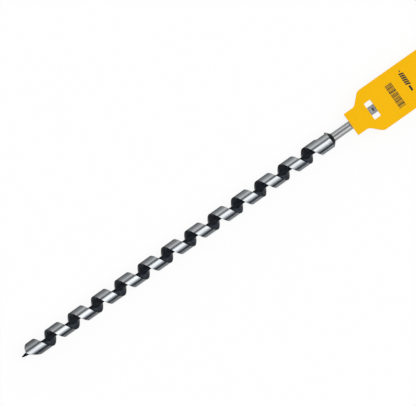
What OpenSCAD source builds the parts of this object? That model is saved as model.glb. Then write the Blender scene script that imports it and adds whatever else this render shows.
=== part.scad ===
// Single-flute wood auger bit with a screw point and a hexagon shank, in a two-sheet hanger.
// X runs along the bit from the tip to the shank, Y across the hanger, Z out of the hanger's face.
// The origin is on the bit's axis where the hexagon shank leaves the shoulder.

/* [Bit] */
// Overall length of the bit, from the screw point's tip to the end of the shank
bit_len = 460; // [300:1:640]
// Diameter over the land, which is the diameter of the hole it bores
bit_d = 18; // [14:0.5:26]
// Distance along the axis for one turn of the flute
pitch = 28.95; // [22:0.05:40]
// Part of a turn that the land takes up, in degrees
land_sweep = 171.4; // [140:0.1:200]
// Diameter of the core at the bottom of the flute
core_d = 4.5; // [3:0.1:6]
// How far the flute's floor lifts off the core where it meets a wall
floor_fillet = 0.5; // [0.2:0.05:0.8]

/* [Shoulder] */
// Distance from the shank back to where the last wall of the flute faces up
last_wall = 24.5; // [18:0.1:28]
// Angle at which the flute starts to run out, from the side facing +Y
runout_start = 190; // [150:1:240]
// Part of a turn over which the flute runs out, in degrees
runout_sweep = 212; // [120:1:240]
// Length of the full rim at the end of the shoulder
rim_len = 1.5; // [1:0.1:4]
// Length of the slope from the end of the flute up to the rim
rim_slope = 1; // [0.5:0.1:3]

/* [Head] */
// Length of the screw point ahead of the cutting lip
screw_len = 11.4; // [8:0.1:18]
// Diameter of the screw point at its base
screw_d = 5.6; // [4:0.1:6.4]
// Diameter of the blunt end of the screw point
screw_tip_d = 0.7; // [0.2:0.05:0.8]
// Height of the screw point's thread
screw_thread = 0.35; // [0.1:0.05:0.5]
// Distance between the screw point's threads
screw_pitch = 1.9; // [1.2:0.1:3]
// How far the spur stands ahead of the cutting lip
spur_height = 4.7; // [3:0.1:7]
// Thickness of the spur's wall
spur_wall = 2.2; // [1.5:0.1:3]
// Length over which the spur's back slopes down to the regular land
spur_len = 14.2; // [10:0.1:18]
// Angle by which the spur's back runs ahead of the regular land at its front end
spur_lead = 80; // [70:1:100]
// Angle from the regular land's edge to the spur's front point
spur_place = 68.5; // [60:0.5:80]
// Angle by which the land's edge nearer the shank is ground back at the cutting lip
head_trim = 8; // [0:0.5:12]
// Length over which the land gains its full width behind the cutting lip
head_trim_len = 60; // [30:1:90]
// Length over which the cutting lip's side falls away from the end face
lip_fall = 0.3; // [0.2:0.05:0.6]
// Relief of the end face behind the cutting lip, in degrees
lip_relief = 8; // [4:1:12]
// Length of the relief across the full width behind the cutting lip, up to the spur's wall
lip_land = 5; // [3:0.1:6]
// Diameter of the thicker core behind the head
head_core_d = 7; // [6:0.1:8]
// Length of the slope from the head's core to the flute's core
head_core_slope = 6; // [3:0.5:12]
// Diameter of the screw point's tang
tang_d = 3.2; // [2:0.1:3.6]
// Length of the screw point's tang
tang_len = 8; // [5:0.5:12]

/* [Shank] */
// Length of the hexagon shank
shank_len = 75; // [60:1:95]
// Width of the shank across its flats
shank_af = 8; // [6:0.5:10]
// Length of the cone between the shoulder and the shank
cone_len = 3.8; // [2:0.1:6]
// How far the cone's large end stays inside the land's diameter, on the radius
cone_step = 0.4; // [0.1:0.1:1]
// Chamfer at the free end of the shank
shank_chamfer = 0.8; // [0.3:0.1:1.2]
// Diameter of the spigot that joins the shank to the twist
spigot_d = 5.8; // [4:0.1:6.4]
// Length of the spigot
spigot_len = 5.5; // [3:0.5:7]

/* [Hanger] */
// Thickness of each sheet
sheet = 1; // [0.6:0.1:1.5]
// Length of the hanger
hanger_len = 112; // [96:1:150]
// Distance from the shoulder to the hanger's mouth
mouth_x = 21.8; // [12:0.1:26]
// Width of the hanger's body
body_w = 48.4; // [40:0.1:70]
// Width of the hanger's neck
neck_w = 26; // [22:0.1:30]
// Length of the neck, from the mouth to the corner where the flare starts
neck_len = 13; // [11:0.1:18]
// Angle of the flare from the neck to the body
flare_angle = 45; // [35:1:60]
// Radius where the neck turns into the flare
neck_round = 7; // [3:0.5:10]
// Radius where the flare turns into the body
flare_round = 7.5; // [3:0.5:10]
// Radius at the corners of the mouth
mouth_round = 1; // [0.5:0.1:3]
// Radius at the corners of the far end
end_round = 6; // [2:0.5:12]
// Distance from the mouth to the window
window_gap = 22.6; // [16:0.1:26]
// Length of the window along the shank
window_len = 7.7; // [6:0.1:14]
// Width of the window across the shank
window_w = 19.5; // [16:0.5:22]
// Radius at the corners of the window
window_round = 1; // [0.5:0.1:3]
// How far the sleeves' ends lie behind the edges of the mouth and the window
sleeve_inset = 0.6; // [0.2:0.1:1.5]
// Radius at the sleeves' outer corners
sleeve_round = 1.6; // [1:0.1:2.5]
// Diameter of the hang hole
hang_d = 8; // [5:0.5:12]
// Distance from the hang hole's centre to the far end
hang_edge = 10; // [8:0.5:20]

/* [Clearances] */
// Gap between the shank and the sheets above and below it
slip = 0.15; // [0.05:0.05:0.3]
// Gap between the shank's corners and the sleeves' walls
side_slip = 0.3; // [0.1:0.05:0.6]
// Gap between the end of the shank and the back sleeve's end wall
end_gap = 0.3; // [0.1:0.1:1]
// Gap around the screw point's base, the tang and the spigot
seat_gap = 0.05; // [0.02:0.01:0.1]

/* [Fineness] */
// Cross sections in one turn of the flute
turn_rings = 16; // [12:1:20]
// Steps across the land
land_steps = 8; // [6:1:10]
// Steps across the floor of the flute
floor_steps = 6; // [5:1:9]
// Cross sections along the spur
spur_rings = 12; // [8:1:16]
// Cross sections down the side of the cutting lip
lip_rings = 4; // [3:1:6]
// Sides of the screw point
screw_sides = 20; // [16:1:28]
// Cross sections in one turn of the screw point's thread
screw_rings = 6; // [4:1:8]

/* [Hidden] */
$fn = 64;
eps = 0.01;
over = 1;
steel = [0.72, 0.74, 0.77];
black_oxide = [0.1, 0.1, 0.12];
yellow = [0.97, 0.73, 0.08];

bit_r = bit_d / 2;
core_r = core_d / 2;
tip_x = shank_len - bit_len;
lip_x = tip_x + screw_len;
front_x = lip_x - spur_height;
spur_root_x = front_x + spur_len;
twist_end_x = -cone_len;
rim_x = twist_end_x - rim_len;
runout_end_x = rim_x - rim_slope;
bore_end_x = lip_x + tang_len;
// Depth of the flat seat under the screw point, past the sloping end face
seat_x = lip_x + screw_d / 2 * tan(lip_relief);
// The flute's foot leans away from each wall by this angle, so that no wall is a plane through the axis
foot_lean = 8;
// The spur's back curves down to the land as this power of the distance
spur_curve = 1.15;
// The spur's front edge rises from the cutting lip as this power of a sine
spur_rise = 1.6;
// The screw point swells from its tip as this power of the distance
screw_curve = 0.68;
// The thread fades in over this share of the screw point at its tip, and out over this share at its base
thread_tip_fade = 0.25;
thread_base_fade = 0.15;
// The cone meets the shank at this share of the way from its flats to its corners
cone_meet = 0.9;
// Arcs in the hanger's outline take a step of about this many degrees
arc_step = 6;

shank_corner_r = shank_af / sqrt(3);
sheet_z = shank_af / 2 + slip;
sleeve_in = shank_corner_r + side_slip;
sleeve_out = sleeve_in + sheet;
sleeve_floor_z = -sheet_z;
sleeve_end_x = shank_len + end_gap;
hanger_end_x = mouth_x + hanger_len;
window_x = mouth_x + window_gap;
hang_x = hanger_end_x - hang_edge;

function clamp(v) = max(0, min(1, v));
function mix(a, b, k) = a + (b - a) * k;

// Angle of the land's edge nearer the tip, counted on from turn to turn, from +Y towards +Z
function edge_angle(x) = 90 + 360 * (x + last_wall) / pitch;
function head_share(x) = clamp(1 - (x - lip_x) / head_trim_len);
function far_edge_angle(x) = edge_angle(x) - land_sweep + head_trim * head_share(x);
spur_angle = edge_angle(front_x) + spur_place;

// The land's two edges with the spur and the lip worked in at the head
function spur_share(x) = pow(clamp((spur_root_x - x) / spur_len), spur_curve);
function front_angle(x) = edge_angle(x) + spur_lead * spur_share(x);
function spur_back_angle(x) = spur_angle - 90 + asin(pow(clamp((lip_x - x) / spur_height), 1 / spur_rise));
function back_angle(x) = x < lip_x
    ? spur_back_angle(x)
    : mix(spur_angle - 90, far_edge_angle(x), clamp((x - lip_x) / lip_fall));

// Radius of the flute's floor: the core, thicker behind the head, lifting to the land at the run-out
function core_radius(x) =
    mix(core_r, head_core_d / 2, clamp((bore_end_x + head_core_slope + over - x) / head_core_slope));
function floor_radius(angle, x) =
    mix(core_radius(x), bit_r,
        max(clamp((angle - runout_start) / runout_sweep), clamp((x - runout_end_x) / rim_slope)));

function polar(x, r, angle) = [x, r * cos(angle), r * sin(angle)];

// One cross section of the twist: the flute's floor, then the land
function section(x) =
    let (front = front_angle(x), back = back_angle(x) + 360)
    concat(
        [for (i = [0:floor_steps])
            let (angle = mix(front + foot_lean, back - foot_lean, i / floor_steps))
            let (foot = i == 0 || i == floor_steps ? floor_fillet : 0)
            polar(x, min(bit_r, floor_radius(angle, x) + foot), angle)],
        [for (i = [0:land_steps]) polar(x, bit_r, mix(back, front + 360, i / land_steps))]
    );

twist_rings = ceil((runout_end_x - spur_root_x) / pitch * turn_rings);
section_xs = concat(
    [for (i = [0:spur_rings - 1]) mix(front_x, lip_x, i / spur_rings)],
    [for (i = [0:lip_rings - 1]) mix(lip_x, lip_x + lip_fall, i / lip_rings)],
    [for (i = [0:spur_rings - 1]) mix(lip_x + lip_fall, spur_root_x, i / spur_rings)],
    [for (i = [0:twist_rings]) mix(spur_root_x, runout_end_x, i / twist_rings)],
    [rim_x, twist_end_x]
);

// Two triangles for the quadrilateral a, b, c, d, split on its shorter diagonal
function quad(points, a, b, c, d) =
    norm(points[a] - points[c]) < norm(points[b] - points[d])
        ? [[a, d, c], [a, c, b]]
        : [[a, d, b], [d, c, b]];

// A closed skin over rings of equal length, with a fan to a centre point at each end
module skin(rings, first_centre, last_centre) {
    n = len(rings[0]);
    count = len(rings);
    points = concat([for (ring = rings) each ring], [first_centre, last_centre]);
    sides = [for (i = [0:count - 2], j = [0:n - 1])
        let (k = (j + 1) % n)
        each quad(points, i * n + j, i * n + k, (i + 1) * n + k, (i + 1) * n + j)];
    first_cap = [for (j = [0:n - 1]) [n * count, j, (j + 1) % n]];
    last_cap = [for (j = [0:n - 1]) [n * count + 1, (count - 1) * n + (j + 1) % n, (count - 1) * n + j]];
    polyhedron(points, concat(sides, first_cap, last_cap));
}

// A cylinder along X from one place to another
module rod(from_x, to_x, r) {
    translate([from_x, 0, 0]) rotate([0, 90, 0]) cylinder(h = to_x - from_x, r = r);
}

// The space ahead of the end face, which slopes back behind the cutting lip and ends at the spur's wall
module gullet() {
    reach = bit_d;
    rotate([spur_angle - 180, 0, 0]) intersection() {
        union() {
            rod(front_x - over, lip_x + reach, bit_r - spur_wall);
            translate([front_x - over, 0, -reach]) cube([spur_height + reach, reach, reach + lip_land]);
        }
        for (slope = [0, lip_relief])
            translate([lip_x, 0, 0])
                rotate([0, slope, 0])
                    translate([-reach, -reach, -reach]) cube([reach, 2 * reach, 2 * reach]);
    }
}

module twist() {
    color(steel) difference() {
        skin([for (x = section_xs) section(x)], [front_x, 0, 0], [twist_end_x, 0, 0]);
        gullet();
        rod(front_x - over, seat_x + seat_gap, screw_d / 2 + seat_gap);
        rod(lip_x, bore_end_x + seat_gap, tang_d / 2 + seat_gap);
        rod(twist_end_x - spigot_len - seat_gap, twist_end_x + over, spigot_d / 2 + seat_gap);
    }
}

// Radius of the screw point: a taper whose thread fades in at the tip and fills out to a plain base
function screw_radius(x, angle) =
    let (share = (x - tip_x) / (seat_x - tip_x))
    let (body = mix(screw_tip_d / 2, screw_d / 2 - screw_thread, pow(share, screw_curve)))
    let (turn = (x - tip_x) / screw_pitch - angle / 360)
    let (ridge = 1 - 2 * abs(turn - floor(turn) - 0.5))
    let (base = clamp((share - 1 + thread_base_fade) / thread_base_fade))
    body + screw_thread * max(ridge, base) * clamp(share / thread_tip_fade);

module lead_screw() {
    rings = ceil((seat_x - tip_x) / screw_pitch * screw_rings);
    color(black_oxide) {
        skin(
            [for (i = [0:rings])
                let (x = mix(tip_x, seat_x, i / rings))
                [for (j = [0:screw_sides - 1])
                    let (angle = 360 * j / screw_sides)
                    polar(x, screw_radius(x, angle), angle)]],
            [tip_x, 0, 0], [seat_x, 0, 0]
        );
        rod(seat_x - over, bore_end_x, tang_d / 2);
    }
}

module hex_shank() {
    cone_end_r = mix(shank_af / 2, shank_corner_r, cone_meet);
    hex_len = shank_len - twist_end_x - eps;
    color(steel) {
        rod(twist_end_x - spigot_len, twist_end_x + over, spigot_d / 2);
        translate([twist_end_x, 0, 0])
            rotate([0, 90, 0]) cylinder(h = cone_len, r1 = bit_r - cone_step, r2 = cone_end_r);
        intersection() {
            translate([twist_end_x + eps, 0, 0])
                rotate([0, 90, 0])
                    rotate([0, 0, 90]) cylinder(h = hex_len, r = shank_corner_r, $fn = 6);
            union() {
                rod(twist_end_x, shank_len - shank_chamfer, bit_r);
                translate([shank_len - shank_chamfer - eps, 0, 0])
                    rotate([0, 90, 0])
                        cylinder(
                            h = shank_chamfer + eps,
                            r1 = shank_corner_r + eps,
                            r2 = shank_corner_r - shank_chamfer
                        );
            }
        }
    }
}

// Points of an arc, from one angle to another
function arc(x, y, r, from, to) =
    let (steps = ceil(abs(to - from) / arc_step))
    [for (i = [0:steps]) [x + r * cos(mix(from, to, i / steps)), y + r * sin(mix(from, to, i / steps))]];

// One side of the hanger's outline, from the mouth to the far end
function half_outline() =
    let (neck = neck_w / 2, body = body_w / 2)
    let (flare_x = mouth_x + neck_len)
    let (body_x = flare_x + (body - neck) / tan(flare_angle))
    let (bend = tan(flare_angle / 2))
    concat(
        arc(mouth_x + mouth_round, neck - mouth_round, mouth_round, 180, 90),
        arc(flare_x - neck_round * bend, neck + neck_round, neck_round, 270, 270 + flare_angle),
        arc(body_x + flare_round * bend, body - flare_round, flare_round, 90 + flare_angle, 90),
        arc(hanger_end_x - end_round, body - end_round, end_round, 90, 0)
    );

module outline() {
    side = half_outline();
    count = len(side);
    polygon(concat(side, [for (i = [1:count]) [side[count - i][0], -side[count - i][1]]]));
}

// A rectangle with round corners, from x, centred across the hanger
module round_window(x, length, width, r) {
    for (px = [x + r, x + length - r], py = [r - width / 2, width / 2 - r]) translate([px, py]) circle(r);
    translate([x + r, -width / 2]) square([length - 2 * r, width]);
    translate([x, r - width / 2]) square([length, width - 2 * r]);
}

// One flat sheet of the hanger, from z upwards
module flat_sheet(z) {
    translate([0, 0, z]) linear_extrude(sheet) difference() {
        outline();
        round_window(window_x, window_len, window_w, window_round);
        translate([hang_x, 0]) circle(d = hang_d);
    }
}

module front_panel() {
    color(yellow) flat_sheet(sheet_z);
}

// The back sheet has a slot over the sleeves, so that the shank lies against the front sheet
module back_panel() {
    color(yellow) difference() {
        flat_sheet(sheet_z - sheet);
        translate([mouth_x - over, -sleeve_in, sheet_z - sheet - over])
            cube([sleeve_end_x - mouth_x + over, 2 * sleeve_in, sheet + 2 * over]);
    }
}

// A block along X, as high as from its bottom to its top, with round bottom corners
module round_block(from_x, to_x, half, bottom, top, r) {
    translate([from_x, 0, 0]) rotate([90, 0, 90]) linear_extrude(to_x - from_x) {
        for (side = [-1, 1]) translate([side * (half - r), bottom + r]) circle(r);
        translate([r - half, bottom]) square([2 * (half - r), r]);
        translate([-half, bottom + r]) square([2 * half, top - bottom - r]);
    }
}

// A U-shaped sleeve under the back sheet that grips the shank, hollow up to inside_end_x
module sleeve(from_x, to_x, inside_end_x) {
    inner_round = sleeve_round - sheet;
    color(yellow) difference() {
        round_block(from_x, to_x, sleeve_out, sleeve_floor_z - sheet, sheet_z - sheet, sleeve_round);
        round_block(from_x - over, inside_end_x, sleeve_in, sleeve_floor_z, sheet_z, inner_round);
    }
}

module front_sleeve() {
    to_x = window_x - sleeve_inset;
    sleeve(mouth_x + sleeve_inset, to_x, to_x + over);
}

module back_sleeve() {
    sleeve(window_x + window_len + sleeve_inset, sleeve_end_x + sheet, sleeve_end_x);
}

twist();
lead_screw();
hex_shank();
front_panel();
back_panel();
front_sleeve();
back_sleeve();
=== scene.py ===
"""Looks of the wood auger bit and its hanger: finer meshes, finishes, studio light and camera."""
import math

import bmesh
import bpy
from mathutils import Matrix, Vector


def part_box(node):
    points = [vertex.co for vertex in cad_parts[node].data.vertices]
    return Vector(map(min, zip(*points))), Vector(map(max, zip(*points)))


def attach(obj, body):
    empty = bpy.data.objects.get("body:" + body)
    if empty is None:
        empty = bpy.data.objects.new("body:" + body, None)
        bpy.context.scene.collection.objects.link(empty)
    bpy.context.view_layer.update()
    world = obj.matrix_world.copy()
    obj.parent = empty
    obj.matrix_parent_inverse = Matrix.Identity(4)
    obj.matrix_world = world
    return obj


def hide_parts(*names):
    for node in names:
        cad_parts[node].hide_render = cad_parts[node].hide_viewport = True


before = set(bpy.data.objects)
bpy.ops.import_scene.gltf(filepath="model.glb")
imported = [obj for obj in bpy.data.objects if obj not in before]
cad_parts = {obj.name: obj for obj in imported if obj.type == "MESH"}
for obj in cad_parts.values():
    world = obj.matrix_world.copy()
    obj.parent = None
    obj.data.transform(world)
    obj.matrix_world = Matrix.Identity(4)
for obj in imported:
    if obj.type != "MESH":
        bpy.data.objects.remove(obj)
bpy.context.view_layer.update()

# Shapes are worked out in millimetres, in the CAD model's frame, and scaled to metres as they are made
MM = 0.001


def cad_corners(node):
    """A CAD node's lowest and highest corners, in millimetres."""
    return [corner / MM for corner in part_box(node)]


twist_low, twist_high = cad_corners("twist")
screw_low, screw_high = cad_corners("lead_screw")
shank_low, shank_high = cad_corners("hex_shank")
sheet_low, sheet_high = cad_corners("front_panel")

# The twist, with the CAD model's own sizes
bit_r = twist_high.y
pitch = 28.95
land_sweep = 171.4
core_r = 2.25
floor_fillet = 0.5
fillet_sweep = 28
foot_lean = 8
edge_bevel = 0.14
bevel_most = 0.4
front_rim = 0.3
back_rim = 0.1

# The head
screw_len = 11.4
tip_x = screw_low.x
front_x = twist_low.x
lip_x = tip_x + screw_len
spur_height = lip_x - front_x
spur_wall = 2.2
spur_len = 14.2
spur_root_x = front_x + spur_len
spur_lead = 80
spur_place = 68.5
spur_curve = 1.15
spur_rise = 1.6
head_trim = 8
head_trim_len = 60
lip_fall = 0.3
lip_relief = math.radians(8)
lip_land = 5
bore_end_x = screw_high.x
head_core_r = 3.5
head_core_past = 1
head_core_slope = 6

# The screw point
screw_r = 2.8
screw_tip_r = 0.35
screw_thread = 0.35
screw_pitch = 1.9
screw_curve = 0.68
thread_tip_fade = 0.25
thread_base_fade = 0.15
tang_r = 1.6
seat_x = lip_x + screw_r * math.tan(lip_relief)
seat_gap = 0.05

# The shoulder, where the flute runs out into the full diameter and the land's ground finish goes on
twist_end_x = twist_high.x
last_wall = 24.5
runout_start = 190
runout_sweep = 212
runout_turns = 0.75
ground_depth = 2.4
ground_aside = 32
rim_len = 1.5
rim_slope = 1
rim_x = twist_end_x - rim_len
runout_end_x = rim_x - rim_slope

# The shank
spigot_r = 2.9
cone_start_r = shank_high.z
cone_meet = 0.9
cone_bevel = 0.1
cone_seam = 0.06
bar_start_x = 0.5
shank_flat_r = 4
shank_corner_r = shank_flat_r * 2 / math.sqrt(3)
shank_round = 0.35
shank_chamfer = 0.8

# The hanger
sheet_edge = 0.16
mouth_x = sheet_low.x
window_low_x = mouth_x + 22.6
window_high_x = window_low_x + 7.7

# The prints on the hanger
ink_height = 0.03
code_x = 71.3
code_len = 8
code_top_y = 11.8
mark_x = 90
mark_height = 5.2
mark_top_y = 17.6

# Marks on the shank: a plain etched patch, painted shade on the flats at the sheet's edges and painted
# shade on the flats in the window
etch_x = 49
etch_len = 3.8
etch_w = 5.6
etch_soft = 1.3
edge_shade_half = 1.6
edge_shade_soft = 1.1
flat_depth = 0.1
window_shade_x = (window_low_x + window_high_x) / 2
window_shade_len = 9
window_shade_soft = 1.5

# Fineness of the meshes, and the turn between two faces that counts as a sharp edge
turn_rings = 64
land_steps = 40
side_steps = 10
side_gap = 3
wall_steps = 6
floor_steps = 18
spur_rings = 28
lip_rings = 6
screw_sides = 64
thread_rings = 28
round_sides = 96
hex_corner_steps = 6
hex_flat_steps = 14
cone_rings = 12
bar_rings = 40
chamfer_rings = 6
twist_sharp = 35
screw_sharp = 40
shank_sharp = 28

# How far a cutter reaches past what it cuts
over = 1

# Places of the two materials on the twist and on the shank
BRIGHT, OXIDE = 0, 1


def clamp(value):
    return max(0.0, min(1.0, value))


def mix(a, b, share):
    return a + (b - a) * share


def spread(a, b, steps):
    """Values from a up to, but without, b."""
    return [mix(a, b, i / steps) for i in range(steps)]


def polar(x, r, angle):
    """A point on a section across the axis, at an angle in degrees from +Y towards +Z."""
    turn = math.radians(angle)
    return Vector((x, r * math.cos(turn), r * math.sin(turn)))


# Meshes


def skin(rings):
    """Points and faces of a closed skin over rings of equal length, with a fan to the axis at each end."""
    count = len(rings[0])
    points = [point for ring in rings for point in ring]
    faces = []
    for i in range(len(rings) - 1):
        for j in range(count):
            k = (j + 1) % count
            faces.append((i * count + j, (i + 1) * count + j, (i + 1) * count + k, i * count + k))
    for ring, way in ((0, 1), (len(rings) - 1, -1)):
        points.append(Vector((rings[ring][0].x, 0, 0)))
        base = ring * count
        for j in range(count):
            faces.append((base + j, base + (j + 1) % count, len(points) - 1)[::way])
    return points, faces


def ring_sides(count, first=0):
    """Faces between a ring of points and the next one, which has as many."""
    sides = []
    for i in range(count):
        k = (i + 1) % count
        sides.append((first + i, first + k, first + count + k, first + count + i))
    return sides


def link_object(name, data):
    item = bpy.data.objects.new(name, data)
    bpy.context.scene.collection.objects.link(item)
    return item


def mesh_object(name, points, faces, materials, indices=None):
    """A new object from points in millimetres, each face with the material at its index."""
    mesh = bpy.data.meshes.new(name)
    mesh.from_pydata([Vector(point) * MM for point in points], [], faces)
    for material in materials:
        mesh.materials.append(material)
    if indices is not None:
        mesh.polygons.foreach_set("material_index", indices)
    return link_object(name, mesh)


def point_values(piece, name, values):
    """Gives each point of a piece a value that its material can read."""
    attribute = piece.data.attributes.new(name, "FLOAT", "POINT")
    attribute.data.foreach_set("value", values)


def face_outwards(piece):
    work = bmesh.new()
    work.from_mesh(piece.data)
    bmesh.ops.recalc_face_normals(work, faces=work.faces)
    work.to_mesh(piece.data)
    work.free()


def smooth(piece, sharp_angle):
    piece.data.polygons.foreach_set("use_smooth", [True] * len(piece.data.polygons))
    piece.data.set_sharp_from_angle(angle=math.radians(sharp_angle))


def apply_modifiers(piece):
    graph = bpy.context.evaluated_depsgraph_get()
    mesh = bpy.data.meshes.new_from_object(piece.evaluated_get(graph))
    piece.modifiers.clear()
    piece.data = mesh


def cut(piece, cutters):
    """Takes the cutters' shapes out of a piece, with their material on the cut faces."""
    for cutter in cutters:
        face_outwards(cutter)
        step = piece.modifiers.new("cut", "BOOLEAN")
        step.operation = "DIFFERENCE"
        step.solver = "EXACT"
        step.object = cutter
    apply_modifiers(piece)
    for cutter in cutters:
        bpy.data.objects.remove(cutter)


def declare(piece, body, slot, *nodes):
    """Puts a piece on the body it rides on and hides the CAD nodes it stands for. The slot, a finish's
    name, is not used.
    """
    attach(piece, body)
    if nodes:
        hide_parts(*nodes)


# Materials


class Nodes:
    """The node tree of a material or the world, made one node at a time."""

    # Inputs of a Mix node that mixes colours, and its output
    FACTOR, COLOUR_A, COLOUR_B = 0, 6, 7
    COLOUR = 2

    def __init__(self, owner):
        owner.use_nodes = True
        self.owner = owner
        self.tree = owner.node_tree
        self.tree.nodes.clear()

    def add(self, kind, inputs=None, **settings):
        node = self.tree.nodes.new(kind)
        for name, value in settings.items():
            setattr(node, name, value)
        for key, value in (inputs or {}).items():
            if isinstance(value, bpy.types.NodeSocket):
                self.tree.links.new(value, node.inputs[key])
            else:
                node.inputs[key].default_value = value
        return node

    def math(self, operation, value, *others):
        """An operation on one value, or on it and each of the others in turn."""
        for other in others or (0.0,):
            value = self.add("ShaderNodeMath", {0: value, 1: other}, operation=operation).outputs[0]
        return value

    def weigh(self, a, a_share, b, b_share):
        return self.math("ADD", self.math("MULTIPLY", a, a_share), self.math("MULTIPLY", b, b_share))

    def remap(self, value, low, high, to_low=0.0, to_high=1.0):
        inputs = {"Value": value, "From Min": low, "From Max": high, "To Min": to_low, "To Max": to_high}
        return self.add("ShaderNodeMapRange", inputs).outputs["Result"]

    def within(self, value, middle, half, soft):
        """1 near a place along an axis and 0 farther off than half a width, with a soft edge."""
        away = self.math("ABSOLUTE", self.math("SUBTRACT", value, middle * MM))
        return self.remap(away, half * MM, (half - soft) * MM)

    def object_place(self):
        return self.add("ShaderNodeTexCoord").outputs["Object"]

    def split(self, vector):
        return self.add("ShaderNodeSeparateXYZ", {0: vector}).outputs

    def noise(self, grain, detail=3, roughness=0.55):
        """Noise with this many features per metre along X, Y and Z."""
        scaled = self.add("ShaderNodeMapping", {"Vector": self.object_place(), "Scale": grain})
        inputs = {"Vector": scaled.outputs[0], "Scale": 1.0, "Detail": detail, "Roughness": roughness}
        return self.add("ShaderNodeTexNoise", inputs).outputs[0]

    def attribute(self, name):
        return self.add("ShaderNodeAttribute", attribute_name=name).outputs["Fac"]

    def blend(self, share, a, b):
        """A colour between a and b."""
        inputs = {self.FACTOR: share, self.COLOUR_A: a, self.COLOUR_B: b}
        return self.add("ShaderNodeMix", inputs, data_type="RGBA").outputs[self.COLOUR]

    def ramp(self, value, stops):
        """A colour that runs through stops, each a place from 0 to 1 and a colour."""
        node = self.add("ShaderNodeValToRGB", {0: value})
        elements = node.color_ramp.elements
        while len(elements) < len(stops):
            elements.new(position=0.5)
        for element, (position, colour) in zip(elements, stops):
            element.position = position
            element.color = colour
        return node.outputs[0]

    def bump(self, height, depth):
        return self.add("ShaderNodeBump", {"Height": height, "Distance": depth * MM}).outputs[0]

    def surface(self, inputs):
        """Ends a material with its shader, and returns the material."""
        shader = self.add("ShaderNodeBsdfPrincipled", inputs)
        self.add("ShaderNodeOutputMaterial", {"Surface": shader.outputs[0]})
        return self.owner


def grey(level, tint=(1.0, 1.0, 1.0)):
    return tuple(level * channel for channel in tint) + (1.0,)


WHITE = grey(1.0)
BLACK = grey(0.0)
cool = (0.95, 1.0, 1.04)
plain = (0.985, 1.0, 1.01)
blued = (0.84, 1.0, 1.27)

# Painted highlights and painted shade across the flute's oxide, in place of the light that falls into the
# flute: the place, from the land's edge nearer the tip, over the core, to the other edge, and the share of
# the oxide's lightness there
flute_light_and_shade = (
    (0.0, 0.1), (0.06, 0.2), (0.13, 0.6), (0.2, 0.28), (0.5, 0.25),
    (0.78, 0.15), (0.84, 1.0), (0.89, 0.75), (0.94, 0.4), (1.0, 0.1),
)


def ground_steel():
    """Bright ground land: fine rings from the grinding wheel, faint smears and scratches, and darker
    towards the head.
    """
    darker, brighter = grey(0.45, cool), grey(0.54, cool)
    darker_head_end_x = lip_x + 12
    darker_head_soft = 10
    darker_head_share = 0.16
    nodes = Nodes(bpy.data.materials.new("ground_steel"))
    rings = nodes.noise((6000, 150, 150), detail=2)
    smears = nodes.noise((60, 160, 160), detail=4)
    scratches = nodes.noise((900, 60, 60), roughness=0.7)
    tone = nodes.weigh(rings, 0.4, smears, 0.6)
    clean = nodes.blend(nodes.remap(tone, low=0.35, high=0.65), darker, brighter)
    x = nodes.split(nodes.object_place())["X"]
    # Darker colour towards the head
    darker_head = nodes.remap(x, (darker_head_end_x + darker_head_soft) * MM, darker_head_end_x * MM, to_high=darker_head_share)
    smeared = nodes.remap(smears, low=0.3, high=0.7, to_low=0.12, to_high=0.2)
    scratched = nodes.remap(scratches, low=0.55, high=0.8, to_high=0.1)
    return nodes.surface({
        "Base Color": nodes.blend(darker_head, clean, BLACK),
        "Metallic": 1.0,
        "Roughness": nodes.math("ADD", smeared, scratched),
        "Normal": nodes.bump(nodes.math("ADD", rings, scratches), depth=0.01),
    })


def black_oxide(name, darkest, lightest, painted_light=()):
    """Blackened steel as forged: satin and a little uneven, with set tones on its rims, and painted
    highlights and painted shade across a flute.
    """
    rim_tone = grey(0.02, cool)
    nodes = Nodes(bpy.data.materials.new(name))
    blotches = nodes.noise((180, 260, 260), detail=4)
    grain = nodes.noise((1800, 1800, 1800), roughness=0.6)
    uneven = nodes.math("ADD", blotches, grain)
    rim = nodes.remap(nodes.attribute("edge"), low=0.8, high=1.0)
    rim = nodes.math("MULTIPLY", rim, nodes.remap(grain, low=0.35, high=0.6))
    oxide = nodes.remap(blotches, low=0.3, high=0.7)
    oxide = nodes.blend(oxide, grey(darkest, blued), grey(lightest, blued))
    # Painted highlights and painted shade across the flute, as a ramp over its section
    if painted_light:
        stops = [(place, grey(level)) for place, level in painted_light]
        oxide = nodes.blend(nodes.ramp(nodes.attribute("across"), stops), BLACK, oxide)
    return nodes.surface({
        "Base Color": nodes.blend(rim, oxide, rim_tone),
        "Roughness": nodes.remap(uneven, low=0.7, high=1.3, to_low=0.18, to_high=0.32),
        "Specular IOR Level": 0.08,
        "Specular Tint": (0.72, 0.88, 1.0, 1),
        "Normal": nodes.bump(grain, depth=0.03),
    })


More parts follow.
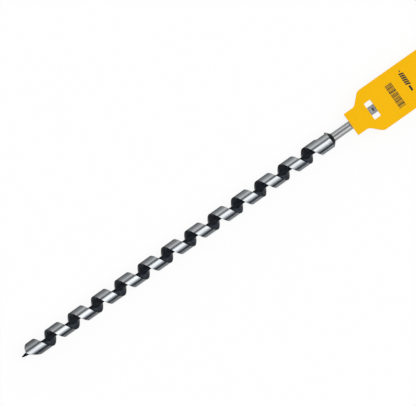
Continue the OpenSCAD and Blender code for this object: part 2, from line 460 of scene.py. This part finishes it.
def drawn_steel():
    """Satin hexagon bar: lines from drawing, painted reflections across the flats, an etched patch, and
    painted shade at the sheet's edges and in the window.
    """
    darker, brighter = grey(0.085, plain), grey(0.43, plain)
    # Colours of the painted shade in the window and at the sheet's edges, and of the etched patch
    window_shaded, edge_shaded, etched = grey(0.27, plain), grey(0.12, plain), grey(0.045, plain)
    window_shade_share = 0.8
    nodes = Nodes(bpy.data.materials.new("drawn_steel"))
    lines = nodes.noise((12, 2600, 2600), roughness=0.6)
    smears = nodes.noise((140, 300, 300), detail=4)
    # Painted reflection across the flats: painted highlights at the corners and a painted dark reflection
    # along the middle of the upper and lower flats
    painted_reflection = nodes.remap(nodes.attribute("across"), low=0.15, high=0.8)
    tone = nodes.weigh(lines, 0.3, painted_reflection, 0.7)
    steel = nodes.blend(nodes.remap(tone, low=0.1, high=0.85), darker, brighter)

    spot = nodes.split(nodes.object_place())
    height = nodes.math("ABSOLUTE", spot["Z"])
    on_flat = nodes.math("GREATER_THAN", height, (shank_flat_r - flat_depth) * MM)
    # Painted shade on the upper and lower flats inside the window, where the sheet stands round the shank
    window_shade = nodes.within(spot["X"], window_shade_x, window_shade_len / 2, window_shade_soft)
    steel = nodes.blend(nodes.math("MULTIPLY", window_shade, on_flat, window_shade_share), steel, window_shaded)

    # Painted shade on the upper and lower flats where the shank passes under the sheet's edges, patchy by
    # the smears
    sheet_edges = mouth_x, window_low_x, window_high_x
    edge_shade = nodes.math("MAXIMUM", *[nodes.within(spot["X"], x, edge_shade_half, edge_shade_soft) for x in sheet_edges])
    edge_shade_patchy = nodes.remap(smears, low=0.3, high=0.6, to_low=0.75)
    steel = nodes.blend(nodes.math("MULTIPLY", edge_shade, on_flat, edge_shade_patchy), steel, edge_shaded)

    etch_along = nodes.within(spot["X"], etch_x, etch_len / 2, etch_soft)
    etch_across = nodes.within(spot["Y"], 0, etch_w / 2, etch_soft)
    on_top = nodes.math("GREATER_THAN", spot["Z"], 0.0)
    patchy = nodes.remap(smears, low=0.3, high=0.55, to_low=0.75)
    etch = nodes.math("MULTIPLY", etch_along, etch_across, on_top, patchy)
    uneven = nodes.math("ADD", lines, smears)
    return nodes.surface({
        "Base Color": nodes.blend(etch, steel, etched),
        "Metallic": 1.0,
        "Roughness": nodes.remap(uneven, low=0.6, high=1.4, to_low=0.3, to_high=0.46),
        "Normal": nodes.bump(lines, depth=0.03),
    })


def yellow_plastic():
    """Satin plastic sheet: even colour with a faint grain and pale scuffs."""
    deeper, paler = (0.9, 0.473, 0.001, 1), (0.92, 0.487, 0.003, 1)
    scuffed = (0.9, 0.58, 0.06, 1)
    nodes = Nodes(bpy.data.materials.new("yellow_plastic"))
    clouds = nodes.noise((25, 25, 25))
    grain = nodes.noise((2500, 2500, 2500), detail=2)
    scuffs = nodes.noise((300, 120, 300), detail=4, roughness=0.7)
    uneven = nodes.math("ADD", clouds, scuffs)
    colour = nodes.blend(nodes.remap(clouds, low=0.35, high=0.65), deeper, paler)
    return nodes.surface({
        "Base Color": nodes.blend(nodes.remap(scuffs, low=0.62, high=0.85, to_high=0.12), colour, scuffed),
        "Roughness": nodes.remap(uneven, low=0.7, high=1.3, to_low=0.42, to_high=0.56),
        "Specular IOR Level": 0.05,
        "Normal": nodes.bump(grain, depth=0.02),
    })


def cut_plastic():
    """The cut edge of the sheet, paler and duller than its faces."""
    deeper, paler = (0.9, 0.46, 0.006, 1), (0.95, 0.62, 0.08, 1)
    nodes = Nodes(bpy.data.materials.new("cut_plastic"))
    nicks = nodes.noise((900, 900, 900), detail=4, roughness=0.7)
    return nodes.surface({
        "Base Color": nodes.blend(nodes.remap(nicks, low=0.35, high=0.7), deeper, paler),
        "Roughness": nodes.remap(nicks, low=0.3, high=0.7, to_low=0.5, to_high=0.7),
        "Specular IOR Level": 0.1,
        "Normal": nodes.bump(nicks, depth=0.03),
    })


def black_ink():
    """Matt print with tiny pinholes and an uneven coat."""
    thick, thin = grey(0.012), (0.07, 0.045, 0.012, 1)
    nodes = Nodes(bpy.data.materials.new("black_ink"))
    coat = nodes.noise((1500, 1500, 1500), detail=4, roughness=0.7)
    return nodes.surface({
        "Base Color": nodes.blend(nodes.remap(coat, low=0.5, high=0.75), thick, thin),
        "Roughness": nodes.remap(coat, low=0.3, high=0.7, to_low=0.45, to_high=0.65),
        "Specular IOR Level": 0.3,
    })


# The twist


def edge_angle(x):
    """Angle of the land's edge nearer the tip, counted on from turn to turn."""
    return 90 + 360 * (x + last_wall) / pitch


def far_edge_angle(x):
    """Angle of the land's edge nearer the shank, ground back a little at the head."""
    head_share = clamp(1 - (x - lip_x) / head_trim_len)
    return edge_angle(x) - land_sweep + head_trim * head_share


spur_angle = edge_angle(front_x) + spur_place


def front_angle(x):
    """Angle of the land's edge nearer the tip, which runs ahead at the spur."""
    share = clamp((spur_root_x - x) / spur_len) ** spur_curve
    return edge_angle(x) + spur_lead * share


def back_angle(x):
    """Angle of the land's other edge, which is the side of the spur up to the lip and then falls back."""
    side = spur_angle - 90
    if x < lip_x:
        return side + math.degrees(math.asin(clamp((lip_x - x) / spur_height) ** (1 / spur_rise)))
    return mix(side, far_edge_angle(x), clamp((x - lip_x) / lip_fall))


def side_end(x, back, front):
    """Angle where the land's first few steps end. The rest keep their places where its edge falls back."""
    at_lip = max(back, spur_angle + 270) + side_gap
    even = mix(back, front + 360, side_steps / land_steps)
    return mix(at_lip, even, clamp((x - lip_x - lip_fall) / spur_len))


def floor_radius(angle, x):
    """Radius of the flute's floor: thicker round the screw's bore, rising to the full radius at the end."""
    head_end_x = bore_end_x + head_core_slope + head_core_past
    core = mix(core_r, head_core_r, clamp((head_end_x - x) / head_core_slope))
    rise = max(clamp((angle - runout_start) / runout_sweep), clamp((x - runout_end_x) / rim_slope))
    return mix(core, bit_r, rise)


def section(x):
    """One cross section: down a wall, over the flute's filleted floor, up the other wall, over the land."""
    front = front_angle(x)
    back = back_angle(x) + 360
    feet = front + foot_lean, back - foot_lean

    def floor_point(angle):
        away = min(angle - feet[0], feet[1] - angle) / fillet_sweep
        lift = floor_fillet * (1 - clamp(away)) ** 2
        return polar(x, min(bit_r, floor_radius(angle, x) + lift), angle)

    def wall(top_angle, foot):
        top = polar(x, bit_r, top_angle)
        start = min(bevel_most, edge_bevel / max((foot - top).length, edge_bevel))
        return [top.lerp(foot, mix(start, 1, i / wall_steps)) for i in range(wall_steps)]

    floor = [floor_point(angle) for angle in spread(*feet, floor_steps) + [feet[1]]]
    bevel = math.degrees(edge_bevel / bit_r)
    land_ends = back + bevel, front + 360 - bevel
    rims = land_ends[0] + math.degrees(back_rim / bit_r), land_ends[1] - math.degrees(front_rim / bit_r)
    split = side_end(x, back, front)
    land = spread(rims[0], split, side_steps) + spread(split, rims[1], land_steps - side_steps)
    land = [land_ends[0]] + land + [rims[1], land_ends[1]]
    return (
        wall(front, floor[0])
        + floor
        + wall(back, floor[-1])[::-1]
        + [polar(x, bit_r, angle) for angle in land]
    )


def section_places():
    """Places of the cross sections along the axis, closest together at the head."""
    rings = math.ceil((runout_end_x - spur_root_x) / pitch * turn_rings)
    nose = [lip_x - spur_height * math.cos(turn) for turn in spread(0, math.pi / 2, spur_rings)]
    return (
        nose
        + spread(lip_x, lip_x + lip_fall, lip_rings)
        + spread(lip_x + lip_fall, spur_root_x, spur_rings)
        + spread(spur_root_x, runout_end_x, rings)
        + [runout_end_x, mix(runout_end_x, rim_x, 0.5), rim_x, twist_end_x - edge_bevel, twist_end_x]
    )


def rod_cutter(name, from_x, to_x, r, materials):
    rings = [[polar(x, r, angle) for angle in spread(0, 360, round_sides)] for x in (from_x, to_x)]
    points, faces = skin(rings)
    return mesh_object(name, points, faces, materials, [OXIDE] * len(faces))


def gullet_cutters(materials):
    """The space ahead of the end face, which slopes back behind the cutting lip, in two blocks."""
    turn = Matrix.Rotation(math.radians(spur_angle - 180), 4, "X")
    reach = 2 * bit_r
    ahead_x = front_x - over

    def end_x(z):
        return lip_x + max(0, z) * math.tan(lip_relief)

    ring = [polar(0, bit_r - spur_wall, angle) for angle in spread(0, 360, round_sides)]
    near = [Vector((ahead_x, p.y, p.z)) for p in ring]
    far = [Vector((end_x(p.z), p.y, p.z)) for p in ring]
    half = round_sides // 2
    walls = ring_sides(round_sides) + [
        tuple(range(round_sides)),
        tuple(range(round_sides, round_sides + half + 1)),
        tuple(range(round_sides + half, 2 * round_sides)) + (round_sides,),
    ]
    points = [turn @ p for p in near + far]
    core = mesh_object("core_cutter", points, walls, materials, [OXIDE] * len(walls))

    outline = [
        (ahead_x, -reach), (lip_x, -reach), (lip_x, 0), (end_x(lip_land), lip_land), (ahead_x, lip_land),
    ]
    count = len(outline)
    points = [turn @ Vector((x, y, z)) for y in (0, reach) for x, z in outline]
    walls = ring_sides(count) + [tuple(range(count)), tuple(range(count, 2 * count))]
    block = mesh_object("block_cutter", points, walls, materials, [OXIDE] * len(walls))
    return [core, block]


def end_ground(twist, floor_low, floor_high):
    """Cuts the run-out's floor where its ground finish ends, and gives each side of the line its finish."""
    angle = runout_start + runout_sweep * (1 - ground_depth / (bit_r - core_r))
    towards = polar(0, 1, angle)
    beyond = polar(0, 1, angle + 90)
    start_x = runout_end_x - runout_turns * pitch
    work = bmesh.new()
    work.from_mesh(twist.data)
    across = work.verts.layers.float["across"]

    def near(face):
        spot = face.calc_center_median() / MM
        aside = math.degrees(Vector((0, spot.y, spot.z)).angle(towards))
        on_floor = all(floor_low <= vert[across] <= floor_high for vert in face.verts)
        return on_floor and spot.x > start_x and aside < ground_aside

    faces = [face for face in work.faces if near(face)]
    edges = list(dict.fromkeys(edge for face in faces for edge in face.edges))
    verts = list(dict.fromkeys(vert for face in faces for vert in face.verts))
    bmesh.ops.bisect_plane(work, geom=verts + edges + faces, plane_co=(0, 0, 0), plane_no=beyond)
    for face in work.faces:
        if near(face):
            face.material_index = BRIGHT if face.calc_center_median().dot(beyond) > 0 else OXIDE
    work.to_mesh(twist.data)
    work.free()


def make_twist(materials):
    rings = [section(x) for x in section_places()]
    points, faces = skin(rings)
    count = len(rings[0])
    corners = wall_steps, wall_steps + floor_steps
    flute_steps = corners[1] + wall_steps
    land_from = flute_steps + 2
    rim_places = {0, flute_steps, land_from - 1, count - 1}
    slack = 0.1

    def floor_place(place):
        """The nearest place on the flute's floor to a place round the section."""
        if place > land_from:
            return corners[0]
        return max(corners[0], min(corners[1], place))

    def finish_of(face):
        """Ground on the land between its black rims, and where the run-out nears the full diameter."""
        places = [i % count for i in face]
        floor = [points[i - place + floor_place(place)] for i, place in zip(face, places)]
        run_out = min(math.hypot(point.y, point.z) for point in floor) > bit_r - ground_depth
        ground = all(land_from <= place < count - 1 for place in places)
        return BRIGHT if ground or run_out else OXIDE

    def on_rim(i):
        return i < len(rings) * count and i % count in rim_places

    def across_of(place):
        return place / flute_steps if place <= flute_steps else 0.0

    sides = (len(rings) - 1) * count
    finishes = [finish_of(face) for face in faces[:sides]] + [OXIDE] * (len(faces) - sides)
    twist = mesh_object("twist_body", points, faces, materials, finishes)
    face_outwards(twist)
    point_values(twist, "edge", [float(on_rim(i)) for i in range(len(points))])
    point_values(twist, "across", [across_of(i % count) for i in range(len(points))])
    end_ground(twist, (corners[0] - slack) / flute_steps, (corners[1] + slack) / flute_steps)
    bores = (
        ("seat_cutter", front_x - over, seat_x + seat_gap, screw_r),
        ("tang_cutter", lip_x, bore_end_x + seat_gap, tang_r),
        ("spigot_cutter", shank_low.x - seat_gap, twist_end_x + over, spigot_r),
    )
    cutters = gullet_cutters(materials)
    for name, from_x, to_x, r in bores:
        cutters.append(rod_cutter(name, from_x, to_x, r + seat_gap, materials))
    cut(twist, cutters)
    smooth(twist, twist_sharp)
    declare(twist, "bit", "land_steel", "twist")


# The screw point


def screw_radius(x, angle):
    """Radius of the screw's surface: a curved taper with one sharp thread that fades out at both ends."""
    share = clamp((x - tip_x) / (seat_x - tip_x))
    body = mix(screw_tip_r, screw_r - screw_thread, share ** screw_curve)
    turn = (x - tip_x) / screw_pitch - angle / 360
    ridge = 1 - 2 * abs(turn - math.floor(turn) - 0.5)
    base = clamp((share - 1 + thread_base_fade) / thread_base_fade)
    return body + screw_thread * max(ridge, base) * clamp(share / thread_tip_fade)


def make_lead_screw(material):
    angles = spread(0, 360, screw_sides)
    steps = math.ceil((seat_x - tip_x) / screw_pitch * thread_rings)
    places = spread(tip_x, seat_x, steps) + [seat_x]
    rings = [[polar(x, screw_radius(x, angle), angle) for angle in angles] for x in places]
    rings += [[polar(x, tang_r, angle) for angle in angles] for x in (seat_x, bore_end_x)]
    points, faces = skin(rings)
    screw = mesh_object("screw_point", points, faces, [material])
    face_outwards(screw)
    smooth(screw, screw_sharp)
    declare(screw, "bit", "black_oxide", "lead_screw")


# The shank


def hexagon():
    """Points round a hexagon with rounded corners and flats facing up and down: radius, angle and tone. The
    tone is painted reflection: 1 at the rounded corners as a painted highlight, lower on the side flats as
    painted shade, and falling to 0 near the middle of the upper and lower flats as a painted dark
    reflection."""
    side_turn = 60
    dark_reflection_corners = 60, 240
    dark_reflection_shift = 0.13
    side_shade = 0.58
    corner_highlight = 1.0
    half_turn = side_turn / 2
    inset = shank_corner_r - shank_round * 2 / math.sqrt(3)
    found = []
    for corner in range(0, 360, side_turn):
        centre = polar(0, inset, corner)
        for turn in spread(-half_turn, half_turn, hex_corner_steps) + [half_turn]:
            point = centre + polar(0, shank_round, corner + turn)
            r = math.hypot(point.y, point.z)
            aside = math.degrees(math.asin(polar(0, shank_round, turn).z / r))
            found.append((r, corner + aside, corner_highlight))
        last_angle = found[-1][1] - corner
        for angle in spread(last_angle, side_turn - last_angle, hex_flat_steps)[1:]:
            off = math.radians(angle - half_turn)
            dark_reflection_tone = abs(math.tan(off) * math.sqrt(3) + dark_reflection_shift)
            tone = dark_reflection_tone if corner in dark_reflection_corners else side_shade
            found.append((shank_flat_r / math.cos(off), corner + angle, tone))
    return found


def make_shank(materials):
    """The bar, the black cone at its shoulder and the spigot that seats in the twist."""
    cone_end_r = mix(shank_flat_r, shank_corner_r, cone_meet)
    end_x = shank_high.x
    chamfer_x = end_x - shank_chamfer
    outline = hexagon()
    count = len(outline)

    def cone_radius(x):
        return mix(cone_start_r, cone_end_r, (x - twist_end_x) / -twist_end_x)

    def hex_ring(x, low=0.0):
        tip = shank_corner_r - max(0, x - chamfer_x)
        return [polar(x, max(low, min(r, tip)), angle) for r, angle, _ in outline]

    def round_ring(x, r):
        return [polar(x, r, angle) for _, angle, _ in outline]

    rings = [round_ring(shank_low.x, spigot_r), round_ring(twist_end_x, spigot_r)]
    rings += [round_ring(twist_end_x, cone_start_r - cone_bevel)]
    rings += [hex_ring(x, cone_radius(x)) for x in spread(twist_end_x + cone_bevel, -cone_seam, cone_rings)]
    rings += [hex_ring(-cone_seam, cone_radius(-cone_seam)), hex_ring(0, cone_end_r - cone_seam)]
    black_faces = len(rings) * count
    rings += [hex_ring(x) for x in [0.0] + spread(bar_start_x, chamfer_x, bar_rings)]
    rings += [hex_ring(x) for x in spread(chamfer_x, end_x, chamfer_rings) + [end_x]]
    points, faces = skin(rings)
    indices = [OXIDE if i < black_faces else BRIGHT for i in range((len(rings) - 1) * count)]
    indices += [OXIDE] * count + [BRIGHT] * count
    shank = mesh_object("shank_bar", points, faces, materials, indices)
    face_outwards(shank)
    point_values(shank, "across", [tone for _, _, tone in outline] * len(rings) + [0.0, 0.0])
    smooth(shank, shank_sharp)
    declare(shank, "bit", "shank_steel", "hex_shank")


# The hanger


def make_panel(name, node, materials):
    """A sheet of the hanger: the CAD shape with its cut edges rounded over."""
    same_place = 0.001
    flat_turn = 0.5
    edge_turn = 40
    work = bmesh.new()
    work.from_mesh(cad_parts[node].data)
    bmesh.ops.remove_doubles(work, verts=work.verts, dist=same_place * MM)
    bmesh.ops.dissolve_limit(work, angle_limit=math.radians(flat_turn), verts=work.verts, edges=work.edges)
    for face in work.faces:
        face.smooth = True
    mesh = bpy.data.meshes.new(name)
    work.to_mesh(mesh)
    work.free()
    for material in materials:
        mesh.materials.append(material)
    panel = link_object(name, mesh)
    rounding = panel.modifiers.new("rounding", "BEVEL")
    rounding.width = sheet_edge * MM
    rounding.segments = 2
    rounding.material = len(materials) - 1
    rounding.limit_method = "ANGLE"
    rounding.angle_limit = math.radians(edge_turn)
    flatness = panel.modifiers.new("flatness", "WEIGHTED_NORMAL")
    flatness.weight = 100
    apply_modifiers(panel)
    declare(panel, "hanger", "yellow_plastic", node)


def printed(name, shapes, ink):
    """A print on the front sheet: flat outlines of X and Y, each raised by the ink's thickness."""
    points, faces = [], []
    for outline in shapes:
        first = len(points)
        count = len(outline)
        for z in (sheet_high.z, sheet_high.z + ink_height):
            points += [(x, y, z) for x, y in outline]
        faces.append(tuple(range(first + count, first + 2 * count)))
        faces.append(tuple(range(first + count - 1, first - 1, -1)))
        faces += ring_sides(count, first)
    piece = mesh_object(name, points, faces, [ink])
    face_outwards(piece)
    declare(piece, "hanger", "yellow_plastic")


def rectangle(low_x, high_x, top_y, bottom_y):
    return [(low_x, top_y), (high_x, top_y), (high_x, bottom_y), (low_x, bottom_y)]


def bars():
    """A row of plain bars of uneven width, which stands for a printed code and says nothing."""
    count = 22
    least = 0.35
    widths, width_step = 4, 0.25
    gaps, gap_step = 3, 0.2
    shapes = []
    y = code_top_y
    for i in range(count):
        width = least + width_step * (i % widths)
        gap = least + gap_step * (i % gaps)
        shapes.append(rectangle(code_x, code_x + code_len, y, y - width))
        y -= width + gap
    return shapes


def bit_figure():
    """A small plain figure of a bit: a pointed tip, slanting turns and a shank."""
    tip_len, tip_half = 2.4, 0.9
    turns, turn_w, turn_gap, slant = 6, 1.7, 0.7, 1.6
    stem_len, stem_half = 6, 1.1
    high_x = mark_x + mark_height
    middle = mark_x + mark_height / 2
    y = mark_top_y - tip_len
    shapes = [[(middle - tip_half, y), (middle, mark_top_y), (middle + tip_half, y)]]
    y -= turn_gap
    for i in range(turns):
        top = y - i * (turn_w + turn_gap)
        low = top - slant
        shapes.append([(mark_x, top), (high_x, low), (high_x, low - turn_w), (mark_x, top - turn_w)])
    end = y - turns * (turn_w + turn_gap) - slant
    shapes.append(rectangle(middle - stem_half, middle + stem_half, end, end - stem_len))
    return shapes


# The studio

# Light round the bit's axis: the angle from straight up, positive towards +Y, the brightness and warmth.
# There is a wide strip overhead, a thin gap beside it, a weaker strip on the +Y side and a dark gap on the
# -Y side
studio = (
    (-180, 0.34, 1.0), (-90, 0.14, 0.95), (-79, 0.045, 0.8), (-70, 0.055, 0.8), (-60, 0.15, 0.85),
    (-46, 0.63, 0.95), (-33, 1.37, 1.0), (-20, 1.90, 1.0), (-6, 2.08, 1.0), (3, 1.94, 1.0), (13, 0.78, 1.0),
    (21, 0.16, 1.0), (26, 0.08, 1.0), (33, 0.37, 1.0), (50, 0.91, 1.0), (61, 0.86, 1.0),
    (76, 0.50, 1.0), (90, 0.38, 1.0), (180, 0.34, 1.0),
)
studio_peak = 2.1
warm_green = 0.4
warm_blue = 0.7

# All of it grows brighter from the tip's end to the shank's end: evenly, by the lean, and by the fall at
# each end, between these two sizes of the direction's X
studio_lean = 0.6
studio_fall = 0.4
fall_from = 0.12
fall_to = 0.5

# From the tip's end to the shank's end the strip's -Y flank grows weaker and the +Y side stronger.
# Each sets in between the angles of its pairs
tip_along = -0.1
shank_along = 0.06
flank_drift = 0.38
flank_top = 2, -20
flank_foot = -62, -42
side_drift = 0.14
side_foot = 4, 16

# A plain fill light from two opposite corners
fill_level = 0.6
fill_from = -0.1
fill_to = -0.4


def make_world():
    world = bpy.data.worlds.new("studio")
    bpy.context.scene.world = world
    nodes = Nodes(world)
    direction = nodes.split(nodes.add("ShaderNodeTexCoord").outputs["Generated"])
    along = direction["X"]
    around = nodes.math("ARCTAN2", direction["Y"], direction["Z"])
    stops = []
    for angle, level, warmth in studio:
        tint = warmth, mix(1, warmth, warm_green), mix(1, 1 / warmth, warm_blue)
        stops.append(((angle + 180) / 360, grey(level / studio_peak, tint)))
    colour = nodes.ramp(nodes.remap(around, -math.pi, math.pi), stops)
    weakest, strongest = studio_peak * (1 - studio_lean), studio_peak * (1 + studio_lean)
    lean = nodes.remap(along, -1.0, 1.0, weakest, strongest)
    glow = nodes.remap(along, fall_from, fall_to, to_high=studio_peak * studio_fall)
    gloom = nodes.remap(along, -fall_from, -fall_to, to_high=studio_peak * studio_fall)
    level = nodes.math("SUBTRACT", nodes.math("ADD", lean, glow), gloom)

    def rises(from_angle, to_angle):
        return nodes.remap(around, math.radians(from_angle), math.radians(to_angle))

    drift = nodes.remap(along, tip_along, shank_along, to_low=-1.0)
    weaker = nodes.math("MULTIPLY", rises(*flank_top), rises(*flank_foot), flank_drift)
    stronger = nodes.math("MULTIPLY", rises(*side_foot), side_drift)
    change = nodes.math("MULTIPLY", drift, nodes.math("SUBTRACT", stronger, weaker))
    level = nodes.math("MULTIPLY", level, nodes.math("ADD", change, 1.0))
    light = nodes.add("ShaderNodeBackground", {"Color": colour, "Strength": level})
    fill = nodes.math("MULTIPLY", along, direction["Y"])
    fill = nodes.remap(fill, fill_from, fill_to, to_high=fill_level)
    fill = nodes.add("ShaderNodeBackground", {"Color": WHITE, "Strength": fill})
    both = nodes.add("ShaderNodeAddShader", {0: light.outputs[0], 1: fill.outputs[0]})
    nodes.add("ShaderNodeOutputWorld", {"Surface": both.outputs[0]})


def make_floor():
    """A plain white floor under the bit, which keeps a faint shadow."""
    paint_tone = grey(0.95)
    white_share = 0.9
    reach = 3000
    drop = 0.02
    material = bpy.data.materials.new("white_floor")
    nodes = Nodes(material)
    path = nodes.add("ShaderNodeLightPath").outputs
    rays = [path[ray] for ray in ("Is Camera Ray", "Is Glossy Ray", "Is Transmission Ray")]
    share = nodes.math("MULTIPLY", nodes.math("MAXIMUM", *rays), white_share)
    paint = nodes.add("ShaderNodeBsdfDiffuse", {"Color": paint_tone})
    white = nodes.add("ShaderNodeEmission", {"Color": WHITE, "Strength": 1.0})
    surface = nodes.add("ShaderNodeMixShader", {0: share, 1: paint.outputs[0], 2: white.outputs[0]})
    nodes.add("ShaderNodeOutputMaterial", {"Surface": surface.outputs[0]})
    low = twist_low.z - drop
    corners = [(-reach, -reach, low), (reach, -reach, low), (reach, reach, low), (-reach, reach, low)]
    mesh_object("floor", corners, [(0, 1, 2, 3)], [material])


def make_cards():
    """Grey cards on the floor along the bit, seen only in its polished steel, darker towards the tip."""
    cards = ("card_near", 10, 36, 0.23), ("card_far", 36, 900, 0.36), ("card_low", -19, -900, 0.41)
    tip_end, shank_end = -900, 0
    mottle = 0.04
    fade_from, fade_to = -200, -420
    fade_share = 0.3
    low = twist_low.z
    for name, near, far, shade in cards:
        nodes = Nodes(bpy.data.materials.new(name))
        weave = nodes.noise((40, 40, 40))
        colour = nodes.blend(weave, grey(shade - mottle), grey(shade + mottle))
        along = nodes.split(nodes.object_place())["X"]
        fade = nodes.remap(along, fade_from * MM, fade_to * MM, to_high=fade_share)
        colour = nodes.blend(fade, colour, BLACK)
        material = nodes.surface({"Base Color": colour, "Roughness": 0.9, "Specular IOR Level": 0.0})
        outline = (tip_end, near), (shank_end, near), (shank_end, far), (tip_end, far)
        card = mesh_object(name, [(x, y, low) for x, y in outline], [(0, 1, 2, 3)], [material])
        for ray in ("camera", "diffuse", "transmission", "shadow", "volume_scatter"):
            setattr(card, f"visible_{ray}", False)


def make_camera():
    """Straight down on the bit through a long lens, with the shank pointing up to the right."""
    view_w = 420.6
    centre = Vector((-141.6, 18.8, 0))
    tilt = 35.25
    data = bpy.data.cameras.new("camera")
    data.lens = 200
    data.sensor_fit = "HORIZONTAL"
    data.clip_end = 100
    camera = link_object("camera", data)
    height = view_w * data.lens / data.sensor_width
    camera.location = (centre + Vector((0, 0, height))) * MM
    camera.rotation_euler.z = -math.radians(tilt)
    bpy.context.scene.camera = camera


def main():
    bpy.context.scene.view_settings.view_transform = "Standard"
    ground = ground_steel()
    drawn = drawn_steel()
    flute = black_oxide("oxide_flute", darkest=0.035, lightest=0.076, painted_light=flute_light_and_shade)
    black = black_oxide("oxide_black", darkest=0.004, lightest=0.01)
    plastic = [yellow_plastic(), cut_plastic()]
    ink = black_ink()
    make_camera()
    make_world()
    make_floor()
    make_cards()
    make_twist([ground, flute])
    make_lead_screw(black)
    make_shank([drawn, black])
    make_panel("front_sheet", "front_panel", plastic)
    make_panel("back_sheet", "back_panel", plastic)
    make_panel("sleeve_at_mouth", "front_sleeve", plastic)
    make_panel("sleeve_at_end", "back_sleeve", plastic)
    printed("code_bars", bars(), ink)
    printed("bit_figure", bit_figure(), ink)


main()
